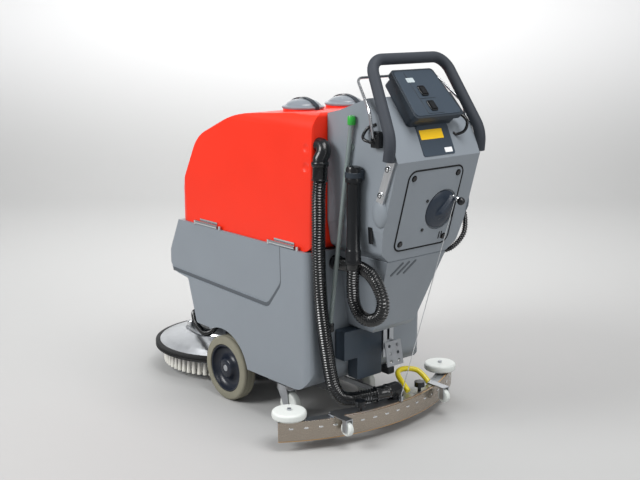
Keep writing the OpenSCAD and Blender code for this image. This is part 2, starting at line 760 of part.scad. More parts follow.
module castor_fork(side) color("#c4c6c8") rig() translate([castor_x, side * castor_y, 0]) {
    top = castor_d + 8;
    translate([0, 0, top]) cylinder(h = fork_top - top, r = 27);
    for (s = [-1, 1]) translate([0, s * (castor_w / 2 + 4.5), 0]) across(3,
        [[-castor_trail - 9, castor_d / 2 - 9], [9 - castor_trail, castor_d / 2 - 9],
         [20, top + 4], [-24, top + 4]]);
    y_cylinder(-castor_trail, 0, castor_d / 2, 4, castor_w + 14);
}
module left_castor_fork() castor_fork(1);
module right_castor_fork() castor_fork(-1);

module castor_wheel(side) color("#a9abac") rig()
    translate([castor_x - castor_trail, side * castor_y, castor_d / 2])
        rotate([90, 0, 0]) rotate_extrude() polygon(rounded(
            [[4 + fit, -castor_w / 2], [castor_d / 2, -castor_w / 2],
             [castor_d / 2, castor_w / 2], [4 + fit, castor_w / 2]], [0, 6, 6, 0], 3));
module left_castor_wheel() castor_wheel(1);
module right_castor_wheel() castor_wheel(-1);

// ---- Squeegee ----

// Curved bar between two radii of the squeegee's curve
module bow(r0, r1, z0, z1, span) translate([band_cx, 0, 0])
    rotate([0, 0, 180 - span]) rotate_extrude(angle = 2 * span, $fn = 96)
        polygon([[r0, z0], [r1, z0], [r1, z1], [r0, z1]]);

module squeegee_body() color("#a8aaab") rig() {
    difference() {
        union() {
            bow(body_in, body_out, body_z0, body_top, band_span);
            bow(body_in - 12, body_out - 1, body_top - 1, top_plate, 20);
            both() translate([roller_at[0], roller_at[1], body_top - 1])
                cylinder(h = top_plate - body_top + 1, r = 20);
            both() translate([roller_at[0], roller_at[1], body_top])
                cylinder(h = roller_z + roller_t + 5 - body_top, r = pin_r);
            both() translate([hitch[0] - hitch_len, hitch_arm_y - 4, hitch[1] - 15])
                cube([hitch_len, 8, 14]);
            both() y_cylinder(hitch[0], hitch_arm_y, hitch[1], 12, 8);
        }
        both() y_cylinder(hitch[0], hitch_arm_y, hitch[1], pin_r + fit, 40);
    }
    both() {
        for (s = [-1, 1]) translate([0, guide_at[1] + s * (guide_w / 2 + 3), 0]) across(3,
            [[guide_at[0] + 7, guide_at[2] - 8], [guide_at[0] - 8, guide_at[2] - 8],
             [guide_at[0] - 8, top_plate + 2], [guide_at[0] + 7, top_plate + 2]]);
        y_cylinder(guide_at[0], guide_at[1], guide_at[2], 3, guide_w + 9);
        translate([guide_at[0] - 8, guide_at[1] - guide_w / 2 - 4.5, top_plate])
            cube([72, guide_w + 9, 3]);
        translate([guide_at[0] + 44, guide_at[1] - guide_w / 2 - 2, body_top - 1])
            cube([18, guide_w + 4, top_plate - body_top + 2]);
    }
    translate([lug_at[0] - 5, lug_at[1] - 4, top_plate - 1]) cube([10, 8, 15]);
}

module squeegee_band() color("#8b8378") rig() {
    bow(band_r - band_t, band_r, band_z, band_z + band_h, band_span);
    bow(body_in - blade_t - band_t, body_in - blade_t, front_top - 16, front_top, band_span - 1);
}

module squeegee_blades() color("#c8a070") rig() {
    bow(body_out, band_r - band_t, band_z - 4, body_top, band_span);
    bow(body_in - blade_t, body_in, band_z - 2, front_top, band_span - 1);
}

module squeegee_fittings() color("#131518") rig() {
    translate([nozzle_at[0], nozzle_at[1], top_plate])
        cylinder(h = nozzle_z - top_plate, r = 22);
    translate([nozzle_at[0], nozzle_at[1], nozzle_z]) sphere(r = 21);
    y_cylinder(nozzle_at[0], (nozzle_at[1] + 2) / 2, nozzle_z, 21, 2 - nozzle_at[1]);
    both() translate([-tail_len - 98, 118, top_plate]) {
        cylinder(h = 14, r = 5);
        translate([0, 0, 14]) cylinder(h = 15, r = 15);
    }
}

module squeegee_handle() color("#e6d21f") rig() {
    route = [[-480, -176, top_plate + 8.6], [-462, -174, 110], [-440, -166, 124],
        [-422, -140, 129], [-422, -112, 129], [-438, -92, 124], [-474, -78, 110],
        [-497, -74, top_plate + 8.6]];
    sweep(spline(route, 3), 8, 10, [0.1, 0.1, 1]);
}

module guide_roller(side) color("#f2f4ee") rig()
    translate([roller_at[0], side * roller_at[1], roller_z]) difference() {
        rotate_extrude() polygon(rounded([[0, 0], [roller_d / 2, 0], [roller_d / 2, roller_t],
            [0, roller_t]], [0, 7, 7, 0], 3));
        translate([0, 0, -1]) cylinder(h = roller_t + 2, r = pin_r + fit);
    }
module left_roller() guide_roller(1);
module right_roller() guide_roller(-1);

module guide_wheel(side) color("#c9cac8") rig()
    translate([guide_at[0], side * guide_at[1], guide_at[2]]) rotate([90, 0, 0])
        rotate_extrude() polygon(rounded([[3 + fit, -guide_w / 2], [guide_d / 2, -guide_w / 2],
            [guide_d / 2, guide_w / 2], [3 + fit, guide_w / 2]], [0, 5, 5, 0], 3));
module left_guide_wheel() guide_wheel(1);
module right_guide_wheel() guide_wheel(-1);

// ---- Squeegee lift ----

module lift_dial() color("#33404f") rig() on_rear() {
    translate([dial_at[0], dial_at[1], 0]) {
        translate([0, 0, dial_floor - 2.8]) cylinder(h = 4, r = 8);
        translate([0, 0, dial_floor + seat]) rotate_extrude()
            polygon(rounded([[0, 0], [dial_r, 0], [dial_r, 5], [dial_r - 14, dial_t], [0, dial_t]],
                [0, 0, 4, 10, 0], 3));
    }
    translate([crank_at[0], crank_at[1], dial_floor + 3]) cylinder(h = knob_out - 6, r = 5);
    translate([crank_at[0], crank_at[1], knob_out]) sphere(r = knob_r);
}

module lift_cable() color("#b5b8bb") rig() {
    v = crank_at[1] - 5.5;
    w = 14;
    top = [cover_x - sin(rear_lean) * v - cos(rear_lean) * w, -crank_at[0],
        cover_z + cos(rear_lean) * v - sin(rear_lean) * w];
    rod([lug_at[0], lug_at[1], top_plate + 14.4], top, 1.2);
}

frame();
lower_tank();
batteries();
drive_motor();
drive_axle();
hinge_pins();
column();
column_base();
suction_motor();
cover_gasket();
cover_panel();
panel_screws();
handle_grip();
handle_plates();
control_box();
control_face();
sight_tube();
drain_tube();
drain_hose();
suction_hose();
side_hose();
bail_pivots();
rear_box();
pedal_bracket();
deck_shell();
deck_bumper();
deck_bracket();
brush_motor();
water_hose();
deck_arms();
brush_plate();
bristles();
recovery_tank();
tank_elbow();
tank_hinges();
left_lid();
right_lid();
left_tyre();
left_hub();
right_tyre();
right_hub();
left_castor_fork();
left_castor_wheel();
right_castor_fork();
right_castor_wheel();
squeegee_body();
squeegee_band();
squeegee_blades();
squeegee_fittings();
squeegee_handle();
left_roller();
right_roller();
left_guide_wheel();
right_guide_wheel();
lift_dial();
lift_cable();
stop_bail();
upper_switch();
lower_switch();
pedal();
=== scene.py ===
# %% [markdown]
# # A walk-behind scrubber dryer
# The CAD model is loaded as a fixed frame. This script adds the camera, the
# studio, the finishes and the pieces whose shape is easier as a surface.

# %% Load the frame
import json
import math

import bpy
import numpy as np
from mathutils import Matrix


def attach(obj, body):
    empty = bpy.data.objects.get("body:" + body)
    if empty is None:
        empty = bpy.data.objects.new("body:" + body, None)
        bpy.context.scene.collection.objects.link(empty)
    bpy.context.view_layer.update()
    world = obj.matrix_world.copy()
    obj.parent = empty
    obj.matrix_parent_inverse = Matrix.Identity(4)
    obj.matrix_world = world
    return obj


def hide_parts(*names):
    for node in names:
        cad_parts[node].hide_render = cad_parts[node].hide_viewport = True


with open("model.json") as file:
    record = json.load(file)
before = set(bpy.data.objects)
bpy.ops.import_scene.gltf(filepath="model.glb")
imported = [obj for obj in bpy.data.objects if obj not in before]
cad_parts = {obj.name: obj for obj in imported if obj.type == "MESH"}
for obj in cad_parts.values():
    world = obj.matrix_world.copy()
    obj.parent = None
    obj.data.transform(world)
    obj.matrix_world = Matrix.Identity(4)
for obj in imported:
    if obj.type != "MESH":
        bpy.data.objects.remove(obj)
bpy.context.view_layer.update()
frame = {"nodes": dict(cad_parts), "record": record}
nodes = frame["nodes"]

# %% [markdown]
# ## Camera
# The camera stands behind the machine on its left, a little above the handle.

# %% Camera
camera = bpy.data.objects.new("camera", bpy.data.cameras.new("camera"))
bpy.context.scene.collection.objects.link(camera)
camera.location = (-2.4503, 2.034, 1.195)
camera.rotation_euler = [math.radians(a) for a in (77.39, 0, -131.05)]
camera.data.lens = 60.24
camera.data.sensor_width = 36
camera.data.clip_end = 60
bpy.context.scene.camera = camera
print("camera at", tuple(camera.location))

# %% [markdown]
# ## Surfaces from arrays
# Sizes are in millimetres from the drive axle, as in the CAD. `metres` moves
# them into the frame. Each shape is an array of points, rows by columns.

# %% Geometry helpers
RIG_X = 80.737            # from the axle to the frame's origin, mm
LEAN = math.radians(15)   # the rear face's lean
SLOPE = math.radians(43.7)  # the control panel's slope
COVER = np.array([-631.441, 0, 662.0])
PANEL = np.array([-611.882, 0, 963.0])


def metres(p):
    """p' = (p + (RIG_X, 0, 0)) / 1000"""
    return (np.asarray(p, float) + [RIG_X, 0, 0]) / 1000


def axes(origin, u, v, w):
    """p' = origin + p_x u + p_y v + p_z w, for points in a tilted frame."""
    basis = np.array([u, v, w], float)
    return lambda p: np.asarray(origin, float) + np.asarray(p, float) @ basis


on_rear = axes(COVER, (0, -1, 0), (-math.sin(LEAN), 0, math.cos(LEAN)),
               (-math.cos(LEAN), 0, -math.sin(LEAN)))
on_panel = axes(PANEL, (0, -1, 0), (math.sin(SLOPE), 0, math.cos(SLOPE)),
                (-math.cos(SLOPE), 0, math.sin(SLOPE)))


def spline(points, per_mm=0.8):
    """Catmull-Rom: p(t) = (2b + (c-a)t + (2a-5b+4c-d)t^2 + (3b-a-3c+d)t^3) / 2,
    resampled at equal distances."""
    p = np.asarray(points, float)
    q = np.vstack([p[:1], p, p[-1:]])
    t = np.linspace(0, 1, 24, endpoint=False)[:, None]
    runs = [(2 * b + (c - a) * t + (2 * a - 5 * b + 4 * c - d) * t ** 2
             + (3 * b - a - 3 * c + d) * t ** 3) / 2
            for a, b, c, d in zip(q, q[1:], q[2:], q[3:])]
    path = np.vstack(runs + [p[-1:]])
    s = np.concatenate([[0], np.cumsum(np.linalg.norm(np.diff(path, axis=0), axis=1))])
    even = np.linspace(0, s[-1], max(8, int(s[-1] * per_mm)))
    return np.stack([np.interp(even, s, path[:, i]) for i in range(3)], 1), even


def arc_corner(a, b, c, r, n=10):
    """Points of the arc of radius r that is tangent to ab and bc."""
    a, b, c = (np.asarray(p, float) for p in (a, b, c))
    u, v = (a - b) / np.linalg.norm(a - b), (c - b) / np.linalg.norm(c - b)
    half = math.acos(np.clip(u @ v, -1, 1)) / 2
    turn = math.pi - 2 * half
    mid = b + (u + v) / np.linalg.norm(u + v) * r / math.sin(half)
    s, e = b + u * r / math.tan(half) - mid, b + v * r / math.tan(half) - mid
    k = np.linspace(0, 1, n)[:, None]
    return mid + (s * np.sin(turn * (1 - k)) + e * np.sin(turn * k)) / math.sin(turn)


def tube(path, radius, sides=24, ref=(0.1, 0.97, 0.2)):
    """Ring k of row i is path_i + r_i (cos k a_i + sin k b_i)."""
    path = np.asarray(path, float)
    t = np.gradient(path, axis=0)
    t /= np.linalg.norm(t, axis=1)[:, None]
    a = np.cross(t, ref)
    a /= np.linalg.norm(a, axis=1)[:, None]
    b = np.cross(t, a)
    k = np.linspace(0, 2 * math.pi, sides, endpoint=False)
    r = np.broadcast_to(radius, len(path))[:, None, None]
    return path[:, None] + r * (np.cos(k)[None, :, None] * a[:, None]
                                + np.sin(k)[None, :, None] * b[:, None])


def lathe(profile, sides=48):
    """Row i is the ring of radius profile_i[0] at height profile_i[1]."""
    p = np.asarray(profile, float)
    k = np.linspace(0, 2 * math.pi, sides, endpoint=False)
    r = np.maximum(p[:, :1], 0.01)
    return np.stack([r * np.cos(k), r * np.sin(k), np.repeat(p[:, 1:], sides, 1)], 2)


def prism(outline, low, high, edge=0.6):
    """Four rings of one outline: the rim is drawn in by edge at both ends."""
    p = np.asarray(outline, float)
    mid = p.mean(0)
    d = p - mid
    inner = mid + d * (1 - edge / np.linalg.norm(d, axis=1)[:, None])
    rings = [(inner, low), (p, low + edge), (p, high - edge), (inner, high)]
    return np.stack([np.column_stack([q, np.full(len(q), z)]) for q, z in rings])


def round_box(l, w, r, n=6):
    """Outline of a box l by w with corners of radius r."""
    k = np.linspace(0, math.pi / 2, n)
    out = [np.column_stack([sx * (l / 2 - r) + r * np.cos(k + t),
                            sy * (w / 2 - r) + r * np.sin(k + t)])
           for sx, sy, t in ((1, 1, 0), (-1, 1, math.pi / 2),
                             (-1, -1, math.pi), (1, -1, 1.5 * math.pi))]
    return np.vstack(out)


def skin(rings, capped=True):
    """Faces between neighbouring rings of points, and a cap on each end."""
    n, m = rings.shape[:2]
    i, k = np.meshgrid(np.arange(n - 1), np.arange(m), indexing="ij")
    a, b = i * m + k, i * m + (k + 1) % m
    quads = np.stack([a, b, b + m, a + m], -1).reshape(-1, 4).tolist()
    caps = [list(range(m))[::-1], list(range((n - 1) * m, n * m))] if capped else []
    return rings.reshape(-1, 3), quads + caps


def piece(name, parts, body, finish, place=None, stands_for=(), smooth=True,
          capped=True):
    """One object from several ring arrays, in place, riding on a body."""
    verts, faces, base = [], [], 0
    for rings in ([parts] if isinstance(parts, np.ndarray) else parts):
        v, f = skin(rings, capped)
        verts.append(place(v) if place else v)
        faces += [[base + j for j in face] for face in f]
        base += len(v)
    mesh = bpy.data.meshes.new(name)
    mesh.from_pydata(metres(np.vstack(verts)).tolist(), [], faces)
    mesh.polygons.foreach_set("use_smooth", np.full(len(mesh.polygons), smooth))
    mesh.set_sharp_from_angle(angle=math.radians(42))
    obj = bpy.data.objects.new(name, mesh)
    bpy.context.scene.collection.objects.link(obj)
    mesh.materials.append(finish)
    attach(obj, body)
    if stands_for:
        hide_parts(*stands_for)
    return obj


slot_of = {s["node"]: s["material_slot"] for s in frame["record"]["subparts"]}
print("helpers ready for", len(slot_of), "nodes")

# %% [markdown]
# ## Finishes
# Each finish mixes two near colours, varies its gloss, and has a fine relief.
# Pattern sizes are real millimetres in the object's own coordinates.

# %% Material helpers


def linear(code):
    """sRGB hex to linear: c = ((s + 0.055) / 1.055)^2.4, or s / 12.92 if small."""
    s = np.array([int(code[i:i + 2], 16) for i in (1, 3, 5)]) / 255
    c = np.where(s <= 0.04045, s / 12.92, ((s + 0.055) / 1.055) ** 2.4)
    return (*c.tolist(), 1)


def add(tree, kind, values=None, links=None, **props):
    """Adds a node, sets its properties and values, and links its inputs."""
    n = tree.nodes.new("ShaderNode" + kind)
    for key, value in props.items():
        setattr(n, key, value)
    for key, value in (values or {}).items():
        n.inputs[key].default_value = value
    for key, socket in (links or {}).items():
        tree.links.new(socket, n.inputs[key])
    return n


def finish(name, colour, rough=0.5, metal=0.0, vary=0.08, patch=60, grain=0.9,
           relief=0.04, stretch=(1, 1, 1), coat=0.0, wear=0.06, **shader):
    """A finish of one colour. patch and grain are pattern sizes in mm."""
    m = bpy.data.materials.new(name)
    m.use_nodes = True
    t = m.node_tree
    bsdf = t.nodes["Principled BSDF"]
    place = add(t, "TexCoord").outputs["Object"]
    turn = add(t, "Mapping", {"Scale": stretch}, {"Vector": place}).outputs["Vector"]
    base = np.array(linear(colour))
    dark, light = base * (1 - vary), np.minimum(base * (1 + vary), 1)
    blotch = add(t, "TexNoise", {"Scale": 1000 / patch, "Detail": 5.0}, {"Vector": turn})
    mix = add(t, "Mix", {6: (*dark[:3], 1), 7: (*light[:3], 1)},
              {0: blotch.outputs["Fac"]}, data_type="RGBA")
    t.links.new(mix.outputs[2], bsdf.inputs["Base Color"])
    fine = add(t, "TexNoise", {"Scale": 1000 / grain, "Detail": 3.0}, {"Vector": turn})
    gloss = add(t, "MapRange", {3: max(rough - wear, 0.03), 4: min(rough + wear, 1)},
                {0: blotch.outputs["Fac"]})
    t.links.new(gloss.outputs[0], bsdf.inputs["Roughness"])
    if relief:
        bump = add(t, "Bump", {"Strength": 0.6, "Distance": relief / 1000},
                   {"Height": fine.outputs["Fac"]})
        t.links.new(bump.outputs["Normal"], bsdf.inputs["Normal"])
    bsdf.inputs["Metallic"].default_value = metal
    bsdf.inputs["Coat Weight"].default_value = coat
    for key, value in shader.items():
        bsdf.inputs[key.replace("_", " ")].default_value = value
    return m


# %% The finishes
F = {
    "grey_moulding": finish("grey satin moulding", "#838a91", 0.38, vary=0.05,
                            patch=90, grain=1.6, relief=0.05),
    "red_moulding": finish("red orange moulding", "#ef2a04", 0.4, vary=0.05,
                           patch=120, grain=2.5, relief=0.05),
    "dark_moulding": finish("dark slate moulding", "#232c35", 0.42, grain=0.8),
    "slate_moulding": finish("slate moulding", "#323e4a", 0.42, grain=0.7),
    "black_plastic": finish("black gloss plastic", "#0e1013", 0.25, grain=1.2),
    "hose_plastic": finish("black hose plastic", "#0a0c0e", 0.16, grain=2.0, relief=0.01,
                           coat=0.5),
    "grip_foam": finish("charcoal foam", "#2d323a", 0.7, vary=0.12, patch=8,
                        grain=0.7, relief=0.25),
    "black_rubber": finish("black rubber", "#0b0c0d", 0.62, grain=1.1, relief=0.06),
    "blade_rubber": finish("tan blade rubber", "#c8a070", 0.6, grain=1.0),
    "grey_tyre": finish("grey tyre rubber", "#858272", 0.78, vary=0.12, patch=25,
                        grain=1.0, relief=0.1),
    "hub_plastic": finish("navy moulding", "#151c29", 0.32, grain=1.0),
    "white_plastic": finish("white plastic", "#dde1dd", 0.38, vary=0.02, grain=1.4),
    "lid_plastic": finish("smoky grey lid", "#7c838a", 0.22, grain=2.2, coat=0.25),
    "zinc_steel": finish("zinc plated steel", "#b9bcc0", 0.36, 1.0, vary=0.16,
                         patch=14, grain=1.8, relief=0.02),
    "bright_steel": finish("polished steel", "#d9dbdd", 0.14, 1.0, vary=0.03,
                           grain=2.0, relief=0.006),
    "stainless": finish("brushed stainless", "#a79d91", 0.26, 1.0, vary=0.08, patch=30,
                        grain=1.5, relief=0.02, stretch=(1, 1, 14)),
    "satin_aluminium": finish("satin aluminium", "#d5d6d8", 0.34, 1.0, vary=0.04,
                              grain=0.8, relief=0.012, stretch=(8, 8, 1)),
    "painted_frame": finish("grey powder coat", "#33373b", 0.5, grain=0.6, relief=0.06),
    "motor_paint": finish("black motor paint", "#34383d", 0.45, grain=0.9),
    "deck_casting": finish("cast aluminium", "#d0d3d6", 0.3, 1.0, vary=0.1,
                           patch=20, grain=1.2, relief=0.1),
    "battery_case": finish("battery case", "#24272b", 0.55),
    "bristle_nylon": finish("nylon bristle", "#e6e4dc", 0.6, grain=0.9, relief=0.9,
                            stretch=(1, 1, 0.05)),
    "brush_plastic": finish("blue brush plate", "#2f6db0", 0.4),
    "yellow_coating": finish("yellow dipped coating", "#e6d21f", 0.3, vary=0.04,
                             grain=3.0, coat=0.3),
    "clear_tube": finish("clear grey tube", "#a9b6b4", 0.15, vary=0.03,
                         Transmission_Weight=0.55),
}
EXTRA = {
    "green": finish("green cap plastic", "#2ea43a", 0.35),
    "display": finish("display window", "#10161b", 0.08, vary=0.02, coat=0.6),
    "yellow_label": finish("yellow sticker", "#f5c500", 0.45, vary=0.02, relief=0.01),
    "white_label": finish("white sticker", "#ecedee", 0.45, vary=0.02, relief=0.01),
    # painted shade: this near black stands in for the shade inside the screw recesses, the cover
    # slots and the gap round the cover
    "hole": finish("painted recess shade", "#07080a", 0.9, relief=0),
    "line": finish("dark engraved line", "#12181d", 0.55, relief=0.01),
    # painted shade: this flat darker grey stands in for the shade in the column's grooves and along
    # the step of the tank's field
    "shade": finish("painted groove shade", "#50565c", 0.5, vary=0.04),
    "dial": finish("dark slate dial", "#222d3b", 0.36, grain=0.8),
    "window": finish("pale display window", "#b9c3c6", 0.2, relief=0.01),
    "brass": finish("brass axle end", "#b39b62", 0.3, 1.0),
}
print("finishes:", len(F) + len(EXTRA))

# %% [markdown]
# ## CAD parts
# Every carried-over part gets its finish, and a small rounded edge made by a
# live bevel, so that its edges catch the light as a moulding's do.

# %% Dress the CAD nodes
EDGE = {"recovery_tank": 5, "lower_tank": 5, "column": 4, "column_base": 5,
        "cover_panel": 2.6, "control_box": 2, "control_face": 0.8, "rear_box": 3,
        "handle_plates": 1, "cover_gasket": 0.4, "bail_pivots": 2, "deck_bumper": 0.5,
        "panel_screws": 0.8, "left_roller": 0.5, "right_roller": 0.5,
        "upper_switch": 0.6, "lower_switch": 0.6, "pedal": 0.6, "pedal_bracket": 0.5,
        "frame": 1.0, "suction_motor": 2, "brush_motor": 3, "squeegee_body": 0.6,
        "squeegee_band": 0.4, "left_castor_fork": 0.6, "right_castor_fork": 0.6}
for name, obj in nodes.items():
    mesh = obj.data
    mesh.materials.clear()
    mesh.materials.append(F[slot_of[name]])
    for key in ("custom_normal",):
        if key in mesh.attributes:
            mesh.attributes.remove(mesh.attributes[key])
    mesh.polygons.foreach_set("use_smooth", np.full(len(mesh.polygons), True))
    weld = obj.modifiers.new("weld", "WELD")
    weld.merge_threshold = 2e-5
    bevel = obj.modifiers.new("edge", "BEVEL")
    bevel.width = EDGE.get(name, 0.4) / 1000
    bevel.segments = 3
    bevel.limit_method = "ANGLE"
    bevel.angle_limit = math.radians(38)
    bevel.use_clamp_overlap = True
    bevel.harden_normals = False
    normals = obj.modifiers.new("normals", "WEIGHTED_NORMAL")
    normals.keep_sharp = False
    normals.weight = 80
print("dressed", len(nodes), "CAD nodes")

# %% [markdown]
# ## Hoses
# Each hose is one spline with a fine corrugation: r(s) = R - d (1 - cos(2 pi s / pitch)) / 2,
# fading to a smooth cuff at its ends.

# %% Hose pieces


def ribbed(points, r, pitch=7.4, depth=2.8, plain=(0, 0)):
    """Corrugated tube whose first and last stretches of plain mm are smooth."""
    path, s = spline(points, per_mm=8 / pitch)
    wave = ((1 - np.cos(2 * math.pi * s / pitch)) / 2) ** 0.7
    fade = np.clip((s - plain[0]) / 4, 0, 1) * np.clip((s[-1] - plain[1] - s) / 4, 0, 1)
    return tube(path, r - depth * wave * fade, 28), path, s


def cuff(path, s, start, stop, r, lip=2.0, sides=32):
    """Smooth sleeve over path from start to stop mm, with a raised ring at each end."""
    at = np.array([0, 0.001, 0.04, 0.1, 0.14, 0.5, 0.86, 0.9, 0.96, 0.999, 1])
    rr = r + np.array([-8, 0, lip, lip, 0, 0, 0, lip, lip, 0, -8])
    want = start + at * (stop - start)
    ring = np.stack([np.interp(want, s, path[:, i]) for i in range(3)], 1)
    return tube(ring + np.outer(np.arange(len(at)) * 1e-4, [0, 0, 1]), rr, sides)


SUCTION = [[-428, 203, 774], [-428, 203.3, 745], [-428, 208, 690], [-428, 208, 620],
           [-428, 208, 536], [-429, 205, 450], [-430, 199, 374], [-431, 190, 310],
           [-432, 180, 250], [-434, 172, 200], [-437, 160, 150], [-442, 138, 116],
           [-449, 108, 103], [-461, 78, 105], [-477, 48, 109], [-487, 24, 112],
           [-490, 12, 112], [-490, 3, 112]]
DRAIN = [[-402.8, 128, 494], [-420, 128, 494], [-445, 128, 495], [-480, 132, 500],
         [-530, 142, 501], [-575, 152, 492], [-608, 157, 466], [-625, 158, 430],
         [-615, 158, 394], [-582, 160, 374], [-549, 165, 381], [-531, 172, 414],
         [-529, 176, 460], [-531, 177, 500], [-531, 177, 519.6]]
SIDE = [[-592, -156, 664], [-592, -162, 664], [-594, -168, 658], [-598, -170, 645],
        [-608, -172, 605], [-605, -168, 562], [-575, -154, 522], [-530, -140, 506],
        [-465, -126, 497], [-425, -124, 496], [-402.6, -124, 496]]
WATER = [[395, 40, 126.7], [394, 44, 148], [376, 62, 166], [340, 92, 170], [296, 116, 160],
         [250, 132, 150], [205, 146, 150], [165, 152, 162], [134, 152, 186],
         [114.5, 150, 210.9]]
rings, path, s = ribbed(SUCTION, 20, plain=(40, 34))
piece("suction_ribs", [rings, cuff(path, s, 0, 44, 20.4), cuff(path, s, s[-1] - 40, s[-1], 20.6)],
      "chassis", F["hose_plastic"], stands_for=["suction_hose"])
rings, path, s = ribbed(DRAIN, 18, pitch=7.0, depth=2.8, plain=(16, 10))
piece("drain_ribs", [rings, cuff(path, s, 0, 18, 18.4)],
      "chassis", F["hose_plastic"], stands_for=["drain_hose"])
rings, path, s = ribbed(SIDE, 8, pitch=6.5, depth=2.4, plain=(8, 8))
piece("side_ribs", rings, "chassis", F["hose_plastic"], stands_for=["side_hose"])
rings, path, s = ribbed(WATER, 10, pitch=7, depth=3.0, plain=(10, 10))
piece("water_coils", rings, "brush_deck", F["hose_plastic"], stands_for=["water_hose"])
print("hoses: suction length", round(float(s[-1])), "mm for the water hose")

# %% Drain tube, tank elbow and sight tube
tube_at = axes((-531, 177, 0), (1, 0, 0), (0, 1, 0), (0, 0, 1))
piece("drain_standpipe", lathe([[0, 520], [19.5, 520], [21.5, 522], [21.5, 536], [20.5, 538],
                                [20.5, 556], [19, 560], [18, 562], [18, 734], [20, 736],
                                [22, 738], [22, 752], [20.5, 754], [20.5, 772], [18, 778],
                                [10, 780], [0, 780]], 40),
      "chassis", F["black_plastic"], tube_at, ["drain_tube"])
clamp = [prism(round_box(40, 26, 6), 744, 770, 1.5) + [0, -10, 0],
         lathe([[0, 750], [22.6, 750], [23.6, 751], [23.6, 763], [22.6, 764], [0, 764]], 40)]
piece("drain_clamp", clamp, "chassis", F["dark_moulding"], tube_at)
elbow = np.vstack([[[-402.3, 184, 822]], arc_corner([-402.3, 184, 822], [-428, 184, 822],
                                                    [-428, 203, 775.2], 22, 14),
                   [[-428, 203, 787.2], [-428, 203, 775.2]]])
piece("tank_bend", [tube(elbow, 20, 32, (0.3, 1, 0.3)),
                    lathe([[0, 770], [22, 770], [23.5, 772], [23.5, 780], [22, 782], [0, 782]], 40)
                    + [-428, 203, 0]],
      "recovery_tank", F["black_plastic"], stands_for=["tank_elbow"])
piece("sight_cap", lathe([[0, 883], [9.6, 883], [10.4, 884], [10.4, 902], [9, 906], [0, 907]])
      + [-509, 166, 0], "chassis", EXTRA["green"])
piece("sight_foot", lathe([[0, 307], [9.5, 307], [10.2, 308], [10.2, 328], [8, 331], [0, 331]])
      + [-424, 161, 0], "chassis", F["black_plastic"])
print("pipes done")

# %% [markdown]
# ## Handle, bail and lift dial

# %% Handle and bail


def mirrored(p):
    """(x, y, z) to (x, -y, z)"""
    return np.asarray(p, float) * [1, -1, 1]


def loop(left, radii, n=12):
    """A bar that follows the points on the left and their mirror on the right."""
    pts = [np.asarray(p, float) for p in left] + [mirrored(p) for p in left[::-1]]
    rr = list(radii) + list(radii[::-1])
    rows = [pts[0][None]]
    for i in range(1, len(pts) - 1):
        rows.append(arc_corner(pts[i - 1], pts[i], pts[i + 1], rr[i - 1], n))
    return np.vstack(rows + [pts[-1][None]])


GRIP = [[-650.882, 171, 803], [-656.882, 169, 854], [-543.882, 136, 1048]]
piece("foam_handle", tube(loop(GRIP, [90, 48]), 15, 28, (0.864, 0, -0.503)),
      "chassis", F["grip_foam"], stands_for=["handle_grip"])
BAIL = [[-599.882, 176, 860], [-585.882, 176, 924], [-502.882, 143, 1001]]
piece("bail_wire", [tube(loop(BAIL, [40, 26]), 3.75, 16, (0.8, 0, -0.6))]
      + [tube([[-599.882, s * 159, 860], [-599.882, s * 178, 860]], 3.75, 16, (1, 0, 0))
         for s in (1, -1)],
      "bail", F["bright_steel"], stands_for=["stop_bail"])
bolts = []
for side in (1, -1):
    for t in (0.2, 0.86):
        x, z = GRIP[0][0] + 39 * t, GRIP[0][2] - 105 * t
        dome = lathe([[0, 0], [8.5, 0], [8.5, 1.5], [7, 4], [4, 5.4], [0, 5.8]], 28)
        bolts.append(np.stack([x + dome[..., 0], side * (164 + dome[..., 2]),
                               z + dome[..., 1] * side], 2))
piece("handle_bolts", bolts, "chassis", F["bright_steel"])
print("handle done")

# %% Lift dial


def dial_dome(r, perp, along):
    """z = -3.7 + 12 (1 - 0.75 q^4) + 11 S (1 - 0.4 q^2), q = r / 54, S the fin."""
    step = lambda x, a, b: np.clip((x - a) / (b - a), 0, 1)
    s = step(-np.abs(perp), -13, -8) * step(along, -30, -10) * step(-along, -52, -44)
    s = s * s * (3 - 2 * s)
    return -3.7 + 12 * (1 - 0.75 * (r / 54) ** 4) + 11 * s * (1 - 0.4 * (r / 54) ** 2)


turn = math.radians(48)
radius = np.concatenate([np.linspace(0.02, 54, 54)])[:, None]
theta = np.linspace(0, 2 * math.pi, 144, endpoint=False)[None]
du, dv = radius * np.cos(theta), radius * np.sin(theta)
along = du * math.cos(turn) + dv * math.sin(turn)
perp = -du * math.sin(turn) + dv * math.cos(turn)
face = np.stack([du + 49, dv - 10, dial_dome(radius, perp, along)], 2)
rim = np.stack([face[-1] * [1, 1, 0] + [0, 0, z] for z in (-2.2, -3.7)])
knob_at = np.array([79.78, 24.18, 0])
ball = lathe([[0, 47], [4, 46.2], [8, 43.5], [10.4, 39.6], [11, 36], [10.4, 32.4],
              [8, 28.5], [6.4, 27], [0, 27]][::-1], 32) + knob_at
ferrule = lathe([[0, 0], [8, 0], [8, 9], [6.6, 10], [6.6, 18], [7.6, 19], [7.6, 24],
                 [6, 27], [0, 27]], 32) + knob_at
piece("dial_disc", [np.concatenate([face, rim])], "lift_dial", EXTRA["dial"], on_rear,
      ["lift_dial"])
piece("dial_knob", [ball], "lift_dial", F["black_plastic"], on_rear)
piece("dial_ferrule", [ferrule], "lift_dial", F["bright_steel"], on_rear)
print("dial done")

# %% [markdown]
# ## Lids, tyres and the squeegee's bolts

